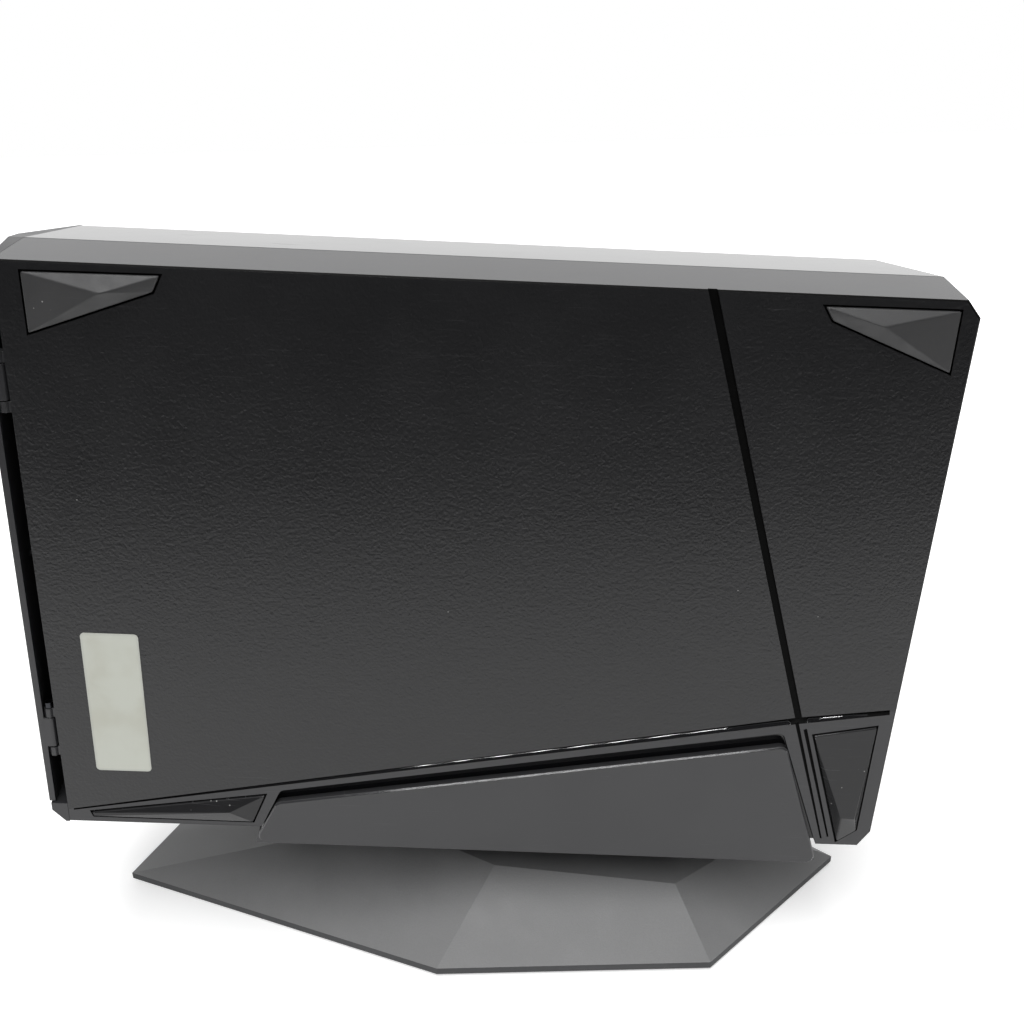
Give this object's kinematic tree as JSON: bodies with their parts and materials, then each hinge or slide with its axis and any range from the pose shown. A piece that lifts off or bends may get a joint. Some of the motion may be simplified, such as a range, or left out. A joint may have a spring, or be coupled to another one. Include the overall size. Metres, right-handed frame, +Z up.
{
  "type": "external disc burner",
  "caption": "Slim upright external disc burner on a faceted cradle stand, with a sliding disc tray behind a V-fronted hinged flap.",
  "frame": {"origin": "on the table, under the middle of the object's length and of its depth", "axes": "+X from the flap end to the socket end along the table, +Y from the panel with the feet to the glossy cover, +Z up"},
  "size_m": [0.2532, 0.0886, 0.2142],
  "materials": {
    "textured_black": "fine leather grain, satin",
    "gloss_black": "piano gloss",
    "matte_black": "smooth satin",
    "stand_grain": "spark-eroded grain",
    "rubber": "matt rubber",
    "label": "bare paper label",
    "lamp": "milky light guide",
    "steel": "zinc plated sheet",
    "bright_steel": "ground",
    "white_plastic": "acetal",
    "dark_plastic": "moulded",
    "board": "solder mask",
    "chip": "moulding compound",
    "cast_metal": "die cast",
    "lens": "coated"
  },
  "bodies": {
    "stand": {"stand_base": "stand_grain", "stand_cradle": "matte_black", "stand_pads": "rubber", "stand_screws": "steel"},
    "housing": {"lower_shell": "textured_black", "upper_shell": "gloss_black", "front_frame": "matte_black", "flap_pins": "bright_steel", "switch_board": "board", "tact_switch": "dark_plastic", "lamp_guide": "lamp", "rubber_feet": "rubber", "gloss_feet": "gloss_black", "label": "label", "shell_screws": "steel", "usb_socket": "dark_plastic", "dc_jack": "dark_plastic", "bridge_board": "board", "bridge_chips": "chip", "board_screws": "steel", "sata_plug": "dark_plastic", "sata_socket": "dark_plastic", "case_top": "steel", "case_bottom": "steel", "unit_front_plate": "dark_plastic", "unit_frame": "dark_plastic", "deck_dampers": "rubber", "clamp_bridge": "steel", "drive_belt": "rubber", "loading_motor": "steel", "drive_board": "board", "drive_chips": "chip"},
    "flap": {"flap_door": "matte_black", "flap_spring": "bright_steel"},
    "button": {"eject_button": "gloss_black"},
    "tray": {"disc_tray": "dark_plastic", "tray_front": "dark_plastic"},
    "clamp": {"clamp_puck": "white_plastic"},
    "loading_wheel": {"loading_gear": "white_plastic"},
    "belt_wheel": {"pulley_gear": "white_plastic"},
    "motor_wheel": {"motor_pulley": "white_plastic"},
    "cam": {"cam_slider": "white_plastic"},
    "deck": {"traverse_deck": "cast_metal", "guide_rods": "bright_steel", "spindle_motor": "steel", "sled_motor": "steel"},
    "spindle": {"turntable": "dark_plastic"},
    "sled": {"pickup_sled": "cast_metal"},
    "lens": {"lens_carrier": "dark_plastic", "objective_lens": "lens"},
    "screw": {"lead_screw": "bright_steel"}
  },
  "joints": [
    {"name": "drive_lift", "type": "slide", "parent": "stand", "child": "housing", "axis": [0.0698, 0, 0.9976], "range_m": [0, 0.06]},
    {"name": "tray_slide", "type": "slide", "parent": "housing", "child": "tray", "axis": [-0.9976, 0, 0.0698], "range_m": [0, 0.147]},
    {"name": "flap_turn", "type": "hinge", "parent": "housing", "child": "flap", "pos_m": [-0.11464, -0.0296, 0.13179], "axis": [0.0698, 0, 0.9976], "range_deg": [0, 98.5]},
    {"name": "button_press", "type": "slide", "parent": "housing", "child": "button", "axis": [0.9976, 0, -0.0698], "range_m": [0, 0.0012], "stiffness_N_per_m": 300},
    {"name": "puck_spin", "type": "hinge", "parent": "housing", "child": "clamp", "pos_m": [-0.02347, 0.0205, 0.12541], "axis": [0, 1, 0], "continuous": true},
    {"name": "loading_wheel_spin", "type": "hinge", "parent": "housing", "child": "loading_wheel", "pos_m": [-0.07487, 0.0095, 0.07839], "axis": [0, 1, 0], "range_deg": [0, 1010]},
    {"name": "belt_wheel_spin", "type": "hinge", "parent": "housing", "child": "belt_wheel", "pos_m": [-0.06705, 0.0065, 0.09443], "axis": [0, 1, 0], "range_deg": [-2420, 0]},
    {"name": "motor_wheel_spin", "type": "hinge", "parent": "housing", "child": "motor_wheel", "pos_m": [-0.07118, 0.0045, 0.13126], "axis": [0, 1, 0], "range_deg": [-6200, 0]},
    {"name": "cam_slide", "type": "slide", "parent": "housing", "child": "cam", "axis": [0.0698, 0, 0.9976], "range_m": [0, 0.012]},
    {"name": "deck_tilt", "type": "hinge", "parent": "housing", "child": "deck", "pos_m": [0.05634, -0.0025, 0.11983], "axis": [0.0698, 0, 0.9976], "range_deg": [0, 5.25]},
    {"name": "spindle_spin", "type": "hinge", "parent": "deck", "child": "spindle", "pos_m": [-0.02347, 0.0085, 0.12541], "axis": [0, 1, 0], "continuous": true},
    {"name": "sled_move", "type": "slide", "parent": "deck", "child": "sled", "axis": [0.9976, 0, -0.0698], "range_m": [0, 0.034]},
    {"name": "lens_focus", "type": "slide", "parent": "sled", "child": "lens", "axis": [0, 1, 0], "range_m": [-0.0006, 0.0006], "stiffness_N_per_m": 40},
    {"name": "screw_turn", "type": "hinge", "parent": "deck", "child": "screw", "pos_m": [0.0145, 0.0025, 0.15233], "axis": [0.9976, 0, -0.0698], "range_deg": [0, 4100]}
  ],
  "couplings": [
    {"joint": "flap_turn", "follows": "tray_slide", "rad_per_m": 11.636},
    {"joint": "loading_wheel_spin", "follows": "tray_slide", "rad_per_m": 119.05},
    {"joint": "belt_wheel_spin", "follows": "tray_slide", "rad_per_m": -285.71},
    {"joint": "motor_wheel_spin", "follows": "tray_slide", "rad_per_m": -734.69},
    {"joint": "deck_tilt", "follows": "cam_slide", "rad_per_m": 7.5631},
    {"joint": "screw_turn", "follows": "sled_move", "rad_per_m": 2094.4}
  ]
}
